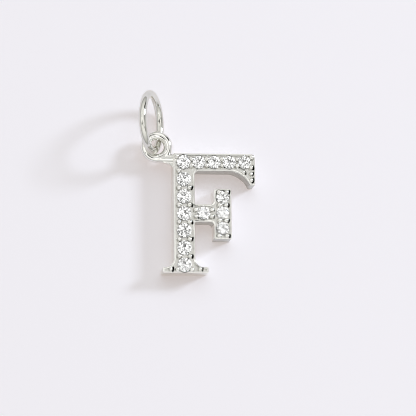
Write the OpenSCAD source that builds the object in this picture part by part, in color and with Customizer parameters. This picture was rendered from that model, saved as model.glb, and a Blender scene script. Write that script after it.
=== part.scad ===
// Initial pendant: a cast letter set with round stones, lying on its back.
// The back is on z = 0 and the set face looks up. +Y points to the top of the letter.
// The origin is on the back, on the stem's centre line, half way up the letter.

/* [Letter] */
// Height of the letter, foot to top edge
letter_h = 9.36; // [8.6:0.02:11]
// Thickness, back to set face
letter_t = 1.7; // [1.4:0.05:2.2]
// Width of the stem
stem_w = 1.68; // [1.5:0.02:1.9]
// Radius of the letter's small outer corners
corner_r = 0.12; // [0.08:0.01:0.15]
// Radius of the letter's small inner corners
inner_r = 0.1; // [0.05:0.01:0.15]

/* [Top arm] */
// Height of the top arm's stroke
arm_h = 1.38; // [1.2:0.01:1.5]
// Reach of the top arm, from the stem's centre line
arm_reach = 5.56; // [5.35:0.01:6.2]
// Depth of the pointed end, from the top edge
point_drop = 2.5; // [2.4:0.05:3.2]
// Width of the pointed end where it leaves the arm
point_root_w = 1; // [0.9:0.02:1.1]
// Width of the pointed end at its tip
point_tip_w = 0.42; // [0.36:0.01:0.5]
// Radius of the curve under the pointed end
point_curve_r = 1.7; // [1.2:0.05:1.75]
// Radius of the arm's upper outer corner
arm_corner_r = 0.3; // [0.15:0.01:0.4]
// Radius of the curve between stem and arm
arm_inner_r = 0.35; // [0.2:0.01:0.5]

/* [Middle arm] */
// Height of the middle arm's centre line above the foot's lower edge
middle_y = 4.68; // [4.4:0.02:5.2]
// Height of the middle arm's stroke
middle_h = 1.4; // [1.2:0.01:1.5]
// Centre of the upright serif, from the stem's centre line
serif_x = 3; // [2.85:0.01:3.3]
// Width of the upright serif
serif_w = 1.38; // [1.2:0.01:1.5]
// Reach of the serif above the middle arm's centre line
serif_up = 1.9; // [1.8:0.01:2.0]
// Reach of the serif below the middle arm's centre line
serif_down = 2.04; // [1.9:0.01:2.3]
// Radius of the curves between middle arm and serif
serif_inner_r = 0.32; // [0.1:0.01:0.4]

/* [Foot] */
// Reach of the foot to the left of the stem's centre line
foot_left = 1.7; // [1.6:0.01:2]
// Reach of the foot to the right of the stem's centre line
foot_right = 1.86; // [1.65:0.01:2.1]
// Height of the foot at its ends
foot_h = 0.46; // [0.36:0.01:0.55]
// Radius of the curves between stem and foot
foot_curve_r = 0.68; // [0.4:0.02:0.7]

/* [Stones] */
// Diameter of the stem's stones
stem_stone_d = 1.1; // [1:0.01:1.16]
// Diameter of the stones of the arms and the serif
arm_stone_d = 1; // [0.9:0.01:1.08]
// Metal left between the stem's first seat and the arm's, where they come closest
corner_bar = 0.09; // [0.05:0.01:0.15]
// Metal left outside the last seat at the foot
foot_rim = 0.06; // [0.04:0.01:0.12]
// Metal left outside the last seat of the top arm
arm_rim = 0.3; // [0.15:0.01:0.35]
// Metal left outside the serif's upper seat
serif_high_rim = 0.14; // [0.06:0.01:0.2]
// Metal left outside the serif's lower seat
serif_low_rim = 0.34; // [0.1:0.01:0.36]
// Crown height as a share of a stone's diameter
crown_share = 0.155; // [0.12:0.005:0.17]
// Pavilion depth as a share of a stone's diameter
pavilion_share = 0.43; // [0.4:0.01:0.45]
// Girdle height as a share of a stone's diameter
girdle_share = 0.03; // [0.02:0.005:0.05]
// Table width as a share of a stone's diameter
table_share = 0.56; // [0.5:0.01:0.62]
// Depth of a girdle's upper edge below the face
stone_sink = 0.02; // [0:0.01:0.1]
// Gap between a stone and its seat
seat_gap = 0.02; // [0.01:0.005:0.05]

/* [Bead prongs] */
// Radius of a bead prong
bead_r = 0.2; // [0.16:0.01:0.22]
// Height of a bead's centre above the face
bead_lift = 0.02; // [-0.05:0.01:0.06]
// Distance from a bead's centre to the edge of its stroke
bead_inset = 0.36; // [0.3:0.01:0.4]
// Distance from the centres of the corner beads to the edges
corner_bead_inset = 0.26; // [0.22:0.01:0.3]
// Radius of the small beads on the pointed end and the foot
small_bead_r = 0.16; // [0.1:0.01:0.17]
// Spacing of the beads down the pointed end
point_bead_step = 0.51; // [0.42:0.01:0.55]
// Distance from a small bead's centre to the edge of the pointed end or the foot
small_bead_inset = 0.3; // [0.2:0.01:0.34]
// Distance from the centres of the foot's beads to its ends
foot_bead_inset = 0.64; // [0.5:0.01:0.7]

/* [Eyelet] */
// Diameter of the eyelet's hole
eyelet_hole_d = 1.2; // [1.1:0.02:1.5]
// Diameter of the eyelet's round wire
eyelet_wire_d = 0.6; // [0.5:0.01:0.7]
// Eyelet's centre to the left of the stem's left side
eyelet_out = 1.24; // [1.1:0.01:1.4]
// Eyelet's centre above the letter's top edge
eyelet_up = 0.56; // [0.5:0.01:0.7]
// Diameter of the neck between eyelet and letter
neck_d = 0.64; // [0.5:0.01:0.7]
// Length of the solder fillet along the neck
fillet_l = 0.75; // [0.5:0.01:0.9]
// Width of the solder fillet where it meets the stem
fillet_h = 0.45; // [0.3:0.01:0.6]

/* [Jump ring] */
// Outer diameter of the jump ring
ring_d = 5; // [4.4:0.05:6]
// Diameter of the jump ring's wire
ring_wire_d = 0.6; // [0.5:0.01:0.7]
// Slope of the jump ring, from the surface it stands on
ring_slope = 67; // [62:1:85]
// Gap between the jump ring's wire and the eyelet's
link_gap = 0.05; // [0.04:0.01:0.1]

/* [Hidden] */
function stone_name(number) = str("stone_", number < 10 ? "0" : "", number);

metal = [0.86, 0.86, 0.84];
crystal = [0.9, 0.95, 1, 0.6];
smooth = 64;
turn_per_step = 15;

// Half widths and edges of the strokes, in the letter's own height from 0 at the foot
stem_side = stem_w / 2;
arm_under = letter_h - arm_h;
arm_line = letter_h - arm_h / 2;
serif_left = serif_x - serif_w / 2;
serif_right = serif_x + serif_w / 2;
middle_low = middle_y - middle_h / 2;
middle_high = middle_y + middle_h / 2;
tip_y = letter_h - point_drop;

// Corners of the letter, counter-clockwise from the foot's lower left: x, y, corner radius
outline_corners = [
    [-foot_left, 0, corner_r],
    [foot_right, 0, corner_r],
    [foot_right, foot_h, corner_r],
    [stem_side, foot_h, foot_curve_r],
    [stem_side, middle_low, inner_r],
    [serif_left, middle_low, serif_inner_r],
    [serif_left, middle_y - serif_down, corner_r],
    [serif_right, middle_y - serif_down, corner_r],
    [serif_right, middle_y + serif_up, corner_r],
    [serif_left, middle_y + serif_up, corner_r],
    [serif_left, middle_high, serif_inner_r],
    [stem_side, middle_high, inner_r],
    [stem_side, arm_under, arm_inner_r],
    [arm_reach - point_root_w, arm_under, point_curve_r],
    [arm_reach - point_tip_w, tip_y, corner_r / 2],
    [arm_reach, tip_y, corner_r],
    [arm_reach, letter_h, arm_corner_r],
    [-stem_side, letter_h, corner_r],
    [-stem_side, foot_h, foot_curve_r],
    [-foot_left, foot_h, corner_r]
];

// Stones: the stem's from the top down, the arm's outwards, the middle one, the serif's from the top.
// A row's end stones keep their rims, and the others are spread evenly between them.
stem_seat_r = stem_stone_d / 2 + seat_gap;
arm_seat_r = arm_stone_d / 2 + seat_gap;
stem_gaps = 6;
arm_gaps = 3;
stem_pitch = (arm_line - foot_rim - stem_seat_r) / stem_gaps;
arm_first_x = stem_seat_r + corner_bar + arm_seat_r;
arm_last_x = arm_reach - arm_rim - arm_seat_r;
arm_pitch = (arm_last_x - arm_first_x) / arm_gaps;
serif_high_y = middle_y + serif_up - serif_high_rim - arm_seat_r;
serif_low_y = middle_y - serif_down + serif_low_rim + arm_seat_r;
serif_pitch = (serif_high_y - serif_low_y) / 2;
middle_stone_x = (stem_stone_d / 2 + serif_x - arm_stone_d / 2) / 2;
girdle_top = -stone_sink;

// Shares of a stone's radius: star facets from table to girdle, lower halves from girdle to culet
star_reach = 0.52;
lower_reach = 0.66;

// Each stone: x, y, diameter
stones = concat(
    [for (i = [0 : stem_gaps]) [0, arm_line - i * stem_pitch, stem_stone_d]],
    [for (i = [0 : arm_gaps]) [arm_first_x + i * arm_pitch, arm_line, arm_stone_d]],
    [[middle_stone_x, middle_y, arm_stone_d]],
    [for (i = [0 : 2]) [serif_x, serif_high_y - i * serif_pitch, arm_stone_d]]
);

// Bead prongs stand in pairs, one at each side of a stroke, half way between neighbouring stones
stem_bead_x = stem_side - bead_inset;
arm_bead_y = arm_h / 2 - bead_inset;
serif_bead_x = serif_w / 2 - bead_inset;
middle_bead_y = middle_h / 2 - bead_inset;
beads = concat(
    [for (i = [1 : stem_gaps], side = [-1, 1])
        if (i > 1 || side < 0) [side * stem_bead_x, arm_line - (i - 0.5) * stem_pitch]],
    [for (i = [0 : arm_gaps], side = [-1, 1])
        [arm_first_x + (i - 0.5) * arm_pitch, arm_line + side * arm_bead_y]],
    [for (i = [0, 1], side = [-1, 1])
        [serif_x + side * serif_bead_x, serif_high_y - (i + 0.5) * serif_pitch]],
    [for (y = [middle_y + serif_up - bead_inset, middle_y - serif_down + bead_inset], side = [-1, 1])
        [serif_x + side * serif_bead_x, y]],
    [for (end = [-1, 1], side = [-1, 1])
        [middle_stone_x + end * (arm_seat_r + bead_r / 2), middle_y + side * middle_bead_y]],
    [[corner_bead_inset - stem_side, letter_h - corner_bead_inset],
     [arm_reach - corner_bead_inset, letter_h - corner_bead_inset],
     [corner_bead_inset - stem_side, corner_bead_inset],
     [stem_side - corner_bead_inset, corner_bead_inset]]
);
small_beads = concat(
    [for (i = [0 : 2]) [arm_reach - small_bead_inset, arm_under + 2 * small_bead_r - i * point_bead_step]],
    [[arm_last_x - small_bead_r / 2, arm_under - small_bead_r / 2],
     [foot_bead_inset - foot_left, small_bead_inset],
     [foot_right - foot_bead_inset, small_bead_inset]]
);

// The ring's plane goes through the eyelet's centre. The eyelet stands just high enough for the
// ring, which touches the surface, to pass it with the same gap inside and outside the hole.
ring_r = (ring_d - ring_wire_d) / 2;
eyelet_r = (eyelet_hole_d + eyelet_wire_d) / 2;
link_room = ((ring_wire_d + eyelet_wire_d) / 2 + link_gap) / sin(ring_slope);
ring_up_slope = sqrt((ring_r * ring_r - eyelet_r * eyelet_r) * (1 - pow(link_room / eyelet_r, 2)));
ring_shift = ring_r * sqrt(1 - pow(ring_up_slope, 2) / (ring_r * ring_r - eyelet_r * eyelet_r));
eyelet_z = ring_wire_d / 2 + sin(ring_slope) * (ring_r - ring_up_slope);
eyelet_x = -stem_side - eyelet_out;
eyelet_y = letter_h + eyelet_up;
neck_y = eyelet_y - eyelet_r;

function unit(v) = v / norm(v);
function angle_of(v) = atan2(v[1], v[0]);
function turned(a) = a > 180 ? a - 360 : (a < -180 ? a + 360 : a);

// Arc that rounds corner p between the corners before and after it
function corner_arc(before, p, after) =
    let (
        into = unit([p[0] - before[0], p[1] - before[1]]),
        out = unit([after[0] - p[0], after[1] - p[1]]),
        turn = turned(angle_of(out) - angle_of(into)),
        side = sign(turn),
        reach = p[2] * tan(abs(turn) / 2),
        start = [p[0], p[1]] - into * reach,
        centre = start + side * p[2] * [-into[1], into[0]],
        first = angle_of(start - centre),
        steps = max(1, ceil(abs(turn) / turn_per_step))
    )
    [for (i = [0 : steps]) centre + p[2] * [cos(first + turn * i / steps), sin(first + turn * i / steps)]];

function rounded(corners) =
    let (n = len(corners))
    [for (i = [0 : n - 1]) each corner_arc(corners[(i + n - 1) % n], corners[i], corners[(i + 1) % n])];

// Point of a brilliant: distance from the axis, eighth of a turn, height
function facet_point(r, eighth, z) = [r * cos(eighth * 45), r * sin(eighth * 45), z];

// Height of the lower edge of a girdle, from the letter's face, on a stone of diameter d
function girdle_low(d) = girdle_top - girdle_share * d;

// The letter's heights run from the foot; the model's run from half way up
module from_foot() {
    translate([0, -letter_h / 2, 0]) children();
}

// Round brilliant: table, stars, kites and upper halves above the girdle, mains and lower halves below
module brilliant(d) {
    r = d / 2;
    table_r = table_share * r;
    star_r = table_r + star_reach * (r - table_r);
    low_r = r * (1 - lower_reach);
    crown_z = girdle_top + crown_share * d;
    culet_z = girdle_low(d) - pavilion_share * d;
    half = cos(22.5);
    star_z = girdle_top + (crown_z - girdle_top) * (r - star_r * half) / (r - table_r);
    low_z = girdle_low(d) + (culet_z - girdle_low(d)) * (r - low_r * half) / r;
    points = concat(
        [for (i = [0 : 7]) facet_point(table_r, i, crown_z)],
        [for (i = [0 : 7]) facet_point(star_r, i + 0.5, star_z)],
        [for (i = [0 : 15]) facet_point(r, i / 2, girdle_top)],
        [for (i = [0 : 15]) facet_point(r, i / 2, girdle_low(d))],
        [for (i = [0 : 7]) facet_point(low_r, i + 0.5, low_z)],
        [[0, 0, culet_z]]
    );
    star = 8;
    upper = 16;
    lower = 32;
    low = 48;
    culet = 56;
    faces = concat(
        [[for (i = [7 : -1 : 0]) i]],
        [for (i = [0 : 7]) [i, (i + 1) % 8, star + i]],
        [for (i = [0 : 7]) [i, star + i, upper + 2 * i, star + (i + 7) % 8]],
        [for (i = [0 : 7]) [star + i, upper + 2 * i + 1, upper + 2 * i]],
        [for (i = [0 : 7]) [star + i, upper + (2 * i + 2) % 16, upper + 2 * i + 1]],
        [for (i = [0 : 15]) [upper + i, upper + (i + 1) % 16, lower + (i + 1) % 16, lower + i]],
        [for (i = [0 : 7]) [lower + 2 * i, lower + 2 * i + 1, low + i]],
        [for (i = [0 : 7]) [lower + 2 * i + 1, lower + (2 * i + 2) % 16, low + i]],
        [for (i = [0 : 7]) [lower + 2 * i, low + i, culet, low + (i + 7) % 8]]
    );
    polyhedron(points, faces, convexity = 2);
}

module set_stone(index) {
    color(crystal)
    from_foot()
    translate([stones[index][0], stones[index][1], letter_t])
    brilliant(stones[index][2]);
}

// Seat for a stone of diameter d: a cone under the pavilion and a round wall past the girdle
module seat(d) {
    seat_r = d / 2 + seat_gap;
    shoulder = girdle_low(d) - seat_gap;
    tip = shoulder - seat_r * pavilion_share * 2;
    rotate_extrude($fn = smooth)
    polygon([[0, tip], [seat_r, shoulder], [seat_r, letter_t], [0, letter_t]]);
}

module letter_block() {
    linear_extrude(letter_t) polygon(rounded(outline_corners));
}

module bead_rows(places, r) {
    for (p = places)
        translate([p[0], p[1], letter_t + bead_lift]) sphere(r = r, $fn = smooth);
}

module eyelet() {
    translate([eyelet_x, eyelet_y, eyelet_z])
    rotate_extrude($fn = smooth) translate([eyelet_r, 0]) circle(d = eyelet_wire_d, $fn = smooth);
}

// The neck goes from under the eyelet into the letter's upper corner, with a solder fillet below it
module neck() {
    translate([eyelet_x, neck_y, eyelet_z])
    rotate([0, 90, 0])
    cylinder(d = neck_d, h = eyelet_out + stem_side / 2, $fn = smooth);
    fillet_top = neck_y - neck_d / 4;
    neck_low = neck_y - neck_d / 2;
    fillet_low = neck_low - fillet_h;
    translate([0, 0, eyelet_z - neck_d / 4])
    linear_extrude(neck_d / 2)
    polygon(concat(
        [[-stem_side / 2, fillet_low], [-stem_side / 2, fillet_top], [-stem_side - fillet_l, fillet_top]],
        [for (a = [0 : turn_per_step : 90])
            [-stem_side - fillet_l * (1 - sin(a)), fillet_low + fillet_h * cos(a)]]
    ));
}

module letter() {
    color(metal)
    from_foot()
    difference() {
        union() {
            letter_block();
            bead_rows(beads, bead_r);
            bead_rows(small_beads, small_bead_r);
            eyelet();
            neck();
        }
        for (s = stones)
            translate([s[0], s[1], letter_t]) seat(s[2]);
    }
}

module jump_ring() {
    color(metal)
    from_foot()
    translate([eyelet_x, eyelet_y, eyelet_z])
    rotate([0, 180 + ring_slope, 0])
    translate([ring_up_slope, ring_shift, 0])
    rotate_extrude($fn = smooth) translate([ring_r, 0]) circle(d = ring_wire_d, $fn = smooth);
}

letter();
jump_ring();
for (i = [0 : len(stones) - 1])
    set_stone(i);
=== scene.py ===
"""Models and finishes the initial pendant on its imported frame, and sets it in a small pale studio."""

import math
from functools import cache
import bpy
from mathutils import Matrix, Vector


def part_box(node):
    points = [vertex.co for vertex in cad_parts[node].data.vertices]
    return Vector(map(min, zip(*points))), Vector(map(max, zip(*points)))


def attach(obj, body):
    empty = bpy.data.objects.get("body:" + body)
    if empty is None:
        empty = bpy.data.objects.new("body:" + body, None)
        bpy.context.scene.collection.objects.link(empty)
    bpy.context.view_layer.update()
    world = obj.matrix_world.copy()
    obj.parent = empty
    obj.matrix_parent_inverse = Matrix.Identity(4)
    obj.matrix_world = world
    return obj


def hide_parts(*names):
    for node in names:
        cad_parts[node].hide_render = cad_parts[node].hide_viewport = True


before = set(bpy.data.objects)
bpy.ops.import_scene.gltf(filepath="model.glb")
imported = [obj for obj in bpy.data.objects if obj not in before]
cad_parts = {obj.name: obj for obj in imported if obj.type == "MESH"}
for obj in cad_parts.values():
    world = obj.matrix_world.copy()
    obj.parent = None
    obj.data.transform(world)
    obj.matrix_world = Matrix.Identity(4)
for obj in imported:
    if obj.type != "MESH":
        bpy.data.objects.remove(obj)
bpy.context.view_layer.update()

from types import SimpleNamespace

import bmesh
import bpy
from bpy.props import FloatProperty, FloatVectorProperty, IntProperty, PointerProperty
from mathutils import Matrix, Vector

bl_info = {
    "name": "Initial Pendant",
    "version": (1, 0, 0),
    "blender": (4, 5, 0),
    "location": "View3D > Sidebar > Pendant",
    "description": "Models the cast letter, its beads, stones, eyelet and jump ring, and lights them",
    "category": "Object",
}

# Every piece is modelled on a bench a thousand times full size, where a millimetre is one unit,
# because the modelling tools merge points that lie close together in metres.
MM = 0.001
BENCH = 1000.0
BODY = "root"

# The letter lies on its back: X runs to its right, Y to its top and Z out of its face.
RIGHTWARD = Vector((1.0, 0.0, 0.0))
TOPWARD = Vector((0.0, 1.0, 0.0))
UP = Vector((0.0, 0.0, 1.0))
ORIGIN = (0.0, 0.0, 0.0)

# The frame's stones in order: down the stem, along the top arm, on the middle arm and down the serif.
STEM_STONES = slice(0, 7)
ARM_STONES = slice(7, 11)
MIDDLE_STONE = 11
SERIF_STONES = slice(12, 15)

# Work by hand is uneven: steps in radians from piece to piece, whose sines vary it without a pattern.
BEAD_SIZE_STEP = 2.4
GOUGE_SIZE_STEP = 3.1
GOUGE_TURN_STEP = 2.2
STONE_TILT_STEP = 1.7
STONE_LEAN_STEP = 2.3

# Width and height of the picture, in pixels.
PICTURE_SIZE = 416


# Kinds of settings


def length(name, description, millimetres):
    """A length property, given in millimetres."""
    return FloatProperty(
        name=name, description=description, default=millimetres * MM, unit="LENGTH", precision=5
    )


def share(name, description, value):
    """A property between nought and one."""
    return FloatProperty(name=name, description=description, default=value, min=0.0, max=1.0)


def degrees(name, description, value):
    """An angle property, given in degrees."""
    return FloatProperty(
        name=name, description=description, default=math.radians(value), subtype="ANGLE"
    )


def colour(name, description, value):
    """A linear colour property."""
    return FloatVectorProperty(
        name=name, description=description, default=value, subtype="COLOR", min=0.0, max=1.0
    )


# Sizes, colours and studio settings


class LetterSizes(bpy.types.PropertyGroup):
    """Sizes of the cast letter. Its foot, its reach and its stones' places come from the frame."""

    height: length("Height", "From the foot to the top edge", 9.36)
    thickness: length("Thickness", "From the back to the face", 1.7)
    stem: length("Stem", "Width of the stem", 1.68)
    arm: length("Top arm", "Height of the top arm's stroke", 1.38)
    point_drop: length("Point drop", "From the top edge to the tip of the arm's point", 2.5)
    point_root: length("Point root", "Width of the point where it leaves the arm", 1.0)
    point_tip: length("Point tip", "Width of the point at its tip", 0.42)
    middle_up: length("Middle height", "From the foot to the middle arm's centre line", 4.68)
    middle: length("Middle arm", "Height of the middle arm's stroke", 1.4)
    serif_out: length("Serif reach", "From the stem's centre line to the serif's", 3.0)
    serif: length("Serif", "Width of the upright serif", 1.38)
    serif_up: length("Serif above", "Reach of the serif above the middle arm's centre line", 1.9)
    serif_down: length("Serif below", "Reach of the serif below that line", 2.04)
    foot_left: length("Foot left", "Reach of the foot to the left of the stem's centre line", 1.7)
    foot_right: length("Foot right", "Reach of the foot to the right of that line", 1.86)
    foot: length("Foot height", "Height of the foot at its ends", 0.46)
    outer_corner: length("Outer corners", "Radius of the small outer corners", 0.12)
    inner_corner: length("Inner corners", "Radius of the small inner corners", 0.1)
    arm_corner: length("Arm corner", "Radius of the top arm's outer corner", 0.3)
    arm_inner: length("Arm hollow", "Radius between stem and top arm", 0.35)
    point_curve: length("Point curve", "Radius under the point", 1.7)
    serif_inner: length("Serif hollow", "Radius between middle arm and serif", 0.32)
    foot_curve: length("Foot curve", "Radius between stem and foot", 0.68)
    draft: length("Draft", "How far the walls lean in from back to face", 0.01)
    rim: length("Rim", "Width of the polished rim round the face", 0.15)
    rim_corner: length("Rim corners", "Smallest radius of the corners inside the rim", 0.02)
    rim_edge: length("Rim edge", "Rounding of the rim's inner edge", 0.025)
    channel: length("Channel", "Depth of the face inside the rim", 0.22)
    face_edge: length("Face edge", "Rounding of the edge round the face", 0.04)
    back_edge: length("Back edge", "Rounding of the edge round the back", 0.06)


class SettingSizes(bpy.types.PropertyGroup):
    """Sizes of the stones' seats, of the beads that hold them and of the graver's cuts."""

    sink: length("Sink", "Depth of a girdle's upper edge below the face", 0.02)
    gap: length("Gap", "Room between a stone and its seat", 0.02)
    mouth: length("Mouth", "Width of the bright cut round a seat", 0.05)
    bead: length("Bead", "Radius of a bead prong", 0.19)
    bead_top: length("Bead height", "From the face to the top of a bead", 0.2)
    inset: length("Bead inset", "From a bead's centre to the edge of its stroke", 0.42)
    corner_inset: length("Corner inset", "From a corner bead's centre to both edges", 0.26)
    small_bead: length("Small bead", "Radius of the beads on the point and the foot", 0.16)
    small_inset: length("Small bead inset", "From a small bead's centre to the edge", 0.3)
    point_step: length("Point step", "Spacing of the beads down the point", 0.51)
    foot_inset: length("Foot inset", "From the foot's small beads to its ends", 0.64)
    serif_inset: length("Serif inset", "From the serif's end beads to its sides", 0.37)
    gouge: length("Gouge", "Half the width of the graver's cut beside a bead", 0.095)
    gouge_long: length("Gouge length", "Half the length of that cut", 0.2)
    gouge_deep: length("Gouge depth", "Depth of that cut below the face", 0.55)
    gouge_off: length("Gouge place", "From a bead's centre to the middle of that cut", 0.19)
    gouge_rim: length("Gouge margin", "Least distance from that cut's middle to a wall at its right", 0.18)


class StoneSizes(bpy.types.PropertyGroup):
    """Proportions of the round brilliants, as shares of their diameter."""

    crown: share("Crown", "Crown height", 0.155)
    girdle: share("Girdle", "Girdle height", 0.03)
    pavilion: share("Pavilion", "Pavilion depth", 0.43)
    table: share("Table", "Table width", 0.56)
    stars: share("Stars", "Reach of the star facets from table to girdle", 0.52)
    lower_halves: share("Lower halves", "Reach of the lower halves from girdle to culet", 0.66)
    turn: degrees("Turn", "Turn from each stone to the next", 137.5)
    tilt: degrees("Tilt", "Most that a stone leans in its seat", 1.6)
    sides: IntProperty(name="Sides", description="Sides of the round girdle", default=64, min=16)


class RingSizes(bpy.types.PropertyGroup):
    """Sizes of the eyelet, its neck and the jump ring."""

    eyelet_wire: length("Eyelet wire", "Diameter of the eyelet's wire", 0.7)
    eyelet_round: length("Eyelet", "Diameter of the eyelet's centre line", 1.8)
    eyelet_reach: length("Eyelet reach", "From the letter's box to the eyelet's centre", 1.2)
    eyelet_lift: length("Eyelet lift", "From the surface to the eyelet's centre line", 1.1794)
    neck: length("Neck", "Diameter of the neck beside the letter", 0.78)
    neck_waist: length("Neck waist", "Diameter of the neck beside the eyelet", 0.66)
    fillet: length("Fillet", "Reach of the solder along the neck", 0.75)
    fillet_drop: length("Fillet drop", "Reach of the solder down the stem", 0.45)
    ring_wire: length("Ring wire", "Diameter of the jump ring's wire", 0.6)
    ring_across: length("Ring", "Outer diameter of the jump ring", 5.0)
    ring_slope: degrees("Ring slope", "Slope of the jump ring against the surface", 67.0)
    joint_place: degrees("Joint place", "Place of the ring's joint round its circle", 205.0)
    joint_gap: length("Joint gap", "Width of the fine joint in the ring", 0.012)
    joint_edge: length("Joint edge", "Chamfer at each end of the ring's wire", 0.02)


class FinishColours(bpy.types.PropertyGroup):
    """Colours and gloss of the metal and the stones, and the paper under them."""

    silver: colour("Silver", "Plated silver, bright side", (0.875, 0.87, 0.845))
    silver_dim: colour("Silver dim", "Plated silver, in its duller patches", (0.775, 0.77, 0.745))
    silver_edge: colour("Silver edge", "Plated silver, seen at a glancing angle", (0.97, 0.965, 0.94))
    wire: colour("Wire", "Drawn silver wire of the jump ring", (0.755, 0.753, 0.713))
    wire_dim: colour("Wire dim", "The same wire in its duller patches", (0.675, 0.673, 0.635))
    channel: colour("Channel", "Cast metal between the stones", (0.74, 0.733, 0.705))
    # Painted shade deep in the channel's cuts and seats: the near black it darkens to, and the heights
    # between which it darkens.
    painted_shade: colour("Tarnish", "What its deep cuts leave of that colour", (0.06, 0.055, 0.045))
    painted_shade_top: length("Tarnish top", "Height at which the cuts start to darken", 1.475)
    painted_shade_low: length("Tarnish low", "Height below which they are dark", 1.41)
    crystal: colour("Crystal", "Body colour of the stones", (0.98, 0.985, 1.0))
    floor: colour("Floor", "Paper under the pendant", (0.86, 0.845, 0.885))
    floor_glow: colour("Floor glow", "Light through the paper from below", (0.408, 0.348, 0.312))
    # Painted shade: the darker colour of the walls that face the letter's foot, which lie in shade under
    # the arms.
    shaded_wall_tone: colour("Silver inside", "Plated silver on the satin inner walls", (0.62, 0.625, 0.6))
    gloss: share("Roughness", "Roughness of the polished metal", 0.06)
    cast: share("Cast roughness", "Roughness of the channel", 0.24)


class StudioSettings(bpy.types.PropertyGroup):
    """Camera and light."""

    lean_left: FloatProperty(
        name="Lean left", description="Leftward part of the direction to the camera", default=0.115
    )
    lean_down: FloatProperty(
        name="Lean down", description="Downward part of the direction to the camera", default=0.16
    )
    distance: FloatProperty(
        name="Distance", description="From the pendant to the camera", default=0.2, unit="LENGTH"
    )
    pixel: length("Pixel", "Width of one of the picture's pixels at the pendant", 0.0775)
    roll: degrees("Roll", "Clockwise turn of the pendant in the picture", 0.53)
    anchor_x: FloatProperty(
        name="Anchor x", description="Picture column of the stem's top, in pixels", default=183.9
    )
    anchor_y: FloatProperty(
        name="Anchor y", description="Picture row of the stem's top, in pixels", default=153.1
    )
    key_turn: degrees("Key turn", "Direction of the key light, from the right of the picture", 25.5)
    key_lift: degrees("Key lift", "Height of the key light above the surface", 30.3)
    key_far: FloatProperty(
        name="Key distance", description="From the pendant to the key light", default=0.6, unit="LENGTH"
    )
    key_across: FloatProperty(
        name="Key size", description="Width and height of the key light", default=0.12, unit="LENGTH"
    )
    key_power: FloatProperty(
        name="Key power", description="Power of the key light", default=1.66, unit="POWER"
    )
    sky: FloatProperty(name="Sky", description="Strength of the white room", default=0.84)
    horizon: share("Horizon", "Strength of the room near the floor, as a share", 0.45)
    ceiling: FloatProperty(name="Ceiling", description="Strength of the room overhead", default=1.5)
    ceiling_start: share("Ceiling start", "Height at which the ceiling starts, as a sine", 0.85)
    sparkle: FloatProperty(
        name="Sparkle", description="Strength of the room through the stones, as a share", default=1.3
    )
    gap_left: share("Gap left", "What the gaps between the lamps leave of the light", 0.12)
    lamp_columns: FloatProperty(
        name="Lamp columns", description="Waves of lamps and gaps round the pendant", default=7.0
    )
    lamp_rows: FloatProperty(
        name="Lamp rows", description="Radians of the waves of lamps up to the zenith", default=14.0
    )
    room_colour: colour("Room colour", "What the metal and the stones mirror", (1.0, 0.995, 0.968))
    fill_colour: colour("Fill colour", "Light that the room sheds on the paper", (0.78, 0.9, 1.0))
    fill: FloatProperty(name="Fill", description="Strength of that light from all round", default=0.185)
    fill_top: FloatProperty(
        name="Top fill", description="Its strength from the top of the picture", default=1.6
    )
    key_colour: colour("Key colour", "Light of the key", (0.8, 0.88, 1.0))


# The settings and the frame, as they are on the bench


def on_bench(group):
    """The group's sizes, with lengths as they are on the bench and the rest as they are."""
    found = {}
    for key in group.__annotations__:
        scale = BENCH if group.bl_rna.properties[key].unit == "LENGTH" else 1.0
        value = getattr(group, key)
        found[key] = value * scale if isinstance(value, float) else value
    return SimpleNamespace(**found)


@cache
def bench_box(node):
    """Lowest and highest corners of a frame node, on the bench, measured once."""
    low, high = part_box(node)
    return low * BENCH, high * BENCH


def stone_nodes():
    """Names of the frame's stones, in order."""
    return sorted(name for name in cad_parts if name.startswith("stone_"))


def stone_places(face):
    """Each stone of the frame: its node, its girdle's centre on the bench and its diameter."""
    sink = bpy.context.scene.pendant_setting.sink * BENCH
    found = []
    for node in stone_nodes():
        low, high = bench_box(node)
        centre = (low + high) / 2
        found.append((node, Vector((centre.x, centre.y, face - sink)), high.x - low.x))
    return found


def stone_copies(face, make):
    """Makes a master for each size of stone, and yields each stone's node, place and own copy."""
    masters = {}
    for node, centre, diameter in stone_places(face):
        size = round(diameter, 2)
        if size not in masters:
            masters[size] = make(diameter)
        yield node, centre, copy_of(masters[size], "copy")
    for master in masters.values():
        bpy.data.objects.remove(master)


# Tools of the bench


def deselect_all():
    """Nothing stays selected."""
    bpy.ops.object.select_all(action="DESELECT")


def only(piece):
    """Selects this piece alone and makes it active."""
    deselect_all()
    piece.select_set(True)
    bpy.context.view_layer.objects.active = piece


def start(primitive, name, **settings):
    """Adds a primitive at its place, with its place in its mesh."""
    deselect_all()
    primitive(**settings)
    piece = bpy.context.object
    piece.name = name
    bpy.ops.object.transform_apply(location=True, rotation=True, scale=True)
    return piece


def edit(piece):
    """Opens the piece for modelling, all of it selected."""
    only(piece)
    bpy.ops.object.mode_set(mode="EDIT")
    bpy.ops.mesh.select_all(action="SELECT")


def close():
    """Ends modelling."""
    bpy.ops.object.mode_set(mode="OBJECT")


def pick(kind, test):
    """Selects the vertices, edges or faces of the open piece that pass the test."""
    bpy.ops.mesh.select_mode(type={"verts": "VERT", "edges": "EDGE", "faces": "FACE"}[kind])
    bpy.ops.mesh.select_all(action="DESELECT")
    data = bpy.context.object.data
    mesh = bmesh.from_edit_mesh(data)
    count = 0
    for element in getattr(mesh, kind):
        if test(element):
            element.select_set(True)
            count += 1
    mesh.select_flush_mode()
    bmesh.update_edit_mesh(data)
    return count


def extrude(offset):
    """Extrudes what is selected by this offset."""
    bpy.ops.mesh.extrude_region_move(TRANSFORM_OT_translate={"value": offset})


def resize(scale, centre=ORIGIN):
    """Resizes what is selected about the centre."""
    bpy.ops.transform.resize(value=scale, center_override=centre)


def turn_outwards():
    """Turns every face of the open piece outwards."""
    bpy.ops.mesh.select_all(action="SELECT")
    bpy.ops.mesh.normals_make_consistent(inside=False)


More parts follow.
